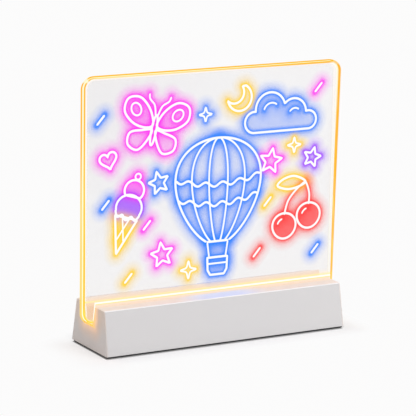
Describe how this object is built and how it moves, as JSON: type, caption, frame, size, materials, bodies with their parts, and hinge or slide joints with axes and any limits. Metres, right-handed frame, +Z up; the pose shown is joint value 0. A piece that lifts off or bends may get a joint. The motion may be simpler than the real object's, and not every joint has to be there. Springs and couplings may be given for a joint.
{
  "type": "led drawing board",
  "caption": "Clear acrylic drawing sheet standing in the lit slot of a low white base, with leds, a flat cell, a charging socket and a push button inside and behind.",
  "frame": {"origin": "on the table under the middle of the base", "axes": "+X along the base and the sheet, +Y from the drawing side to the rear with the charging socket, +Z up"},
  "size_m": [0.2, 0.054, 0.189],
  "materials": {
    "shell_white": "fine satin moulding",
    "cover_dark": "fine spark-eroded texture",
    "foot_rubber": "matt rubber",
    "clear_acrylic": "polished clear acrylic",
    "clear_silicone": "milky clear silicone",
    "screw_steel": "nickel plated",
    "led_board_white": "white solder mask",
    "control_board_green": "green solder mask",
    "led_warm": "yellow phosphor in a pale body",
    "chip_black": "moulded epoxy",
    "can_aluminium": "drawn can",
    "cell_foil": "satin pouch foil",
    "tape_foam": "foam tape",
    "header_white": "natural nylon",
    "lead_red": "wire insulation",
    "lead_black": "wire insulation"
  },
  "bodies": {
    "base": {"base_housing": "shell_white", "slot_liner": "clear_silicone", "bottom_cover": "cover_dark", "foot_pad_1": "foot_rubber", "foot_pad_2": "foot_rubber", "foot_pad_3": "foot_rubber", "foot_pad_4": "foot_rubber", "cover_screw_1": "screw_steel", "cover_screw_2": "screw_steel", "cover_screw_3": "screw_steel", "cover_screw_4": "screw_steel", "led_board": "led_board_white", "led_1": "led_warm", "led_2": "led_warm", "led_3": "led_warm", "led_4": "led_warm", "led_5": "led_warm", "led_6": "led_warm", "led_7": "led_warm", "led_8": "led_warm", "led_9": "led_warm", "led_10": "led_warm", "led_11": "led_warm", "led_12": "led_warm", "led_resistor_1": "chip_black", "led_resistor_2": "chip_black", "led_resistor_3": "chip_black", "led_resistor_4": "chip_black", "led_board_screw_1": "screw_steel", "led_board_screw_2": "screw_steel", "led_board_screw_3": "screw_steel", "control_board": "control_board_green", "control_board_screw_1": "screw_steel", "control_board_screw_2": "screw_steel", "charging_socket_shell": "screw_steel", "charging_socket_tongue": "chip_black", "switch_body": "chip_black", "charger_chip": "chip_black", "driver_chip": "chip_black", "boost_coil": "chip_black", "capacitor_1": "can_aluminium", "capacitor_2": "can_aluminium", "battery_cell": "cell_foil", "battery_tape": "tape_foam", "battery_socket": "header_white", "battery_plug": "header_white", "battery_lead_red": "lead_red", "battery_lead_black": "lead_black", "led_socket": "header_white", "led_plug": "header_white", "led_lead_red": "lead_red", "led_lead_black": "lead_black"},
    "panel": {"acrylic_panel": "clear_acrylic"},
    "button": {"power_button": "cover_dark", "switch_plunger": "screw_steel"}
  },
  "joints": [
    {"name": "panel_lift", "type": "slide", "parent": "base", "child": "panel", "axis": [0, 0, 1], "range_m": [0, 0.03]},
    {"name": "button_press", "type": "slide", "parent": "base", "child": "button", "axis": [0, -1, 0], "range_m": [0, 0.001], "stiffness_N_per_m": 600, "springref_m": -0.001}
  ]
}
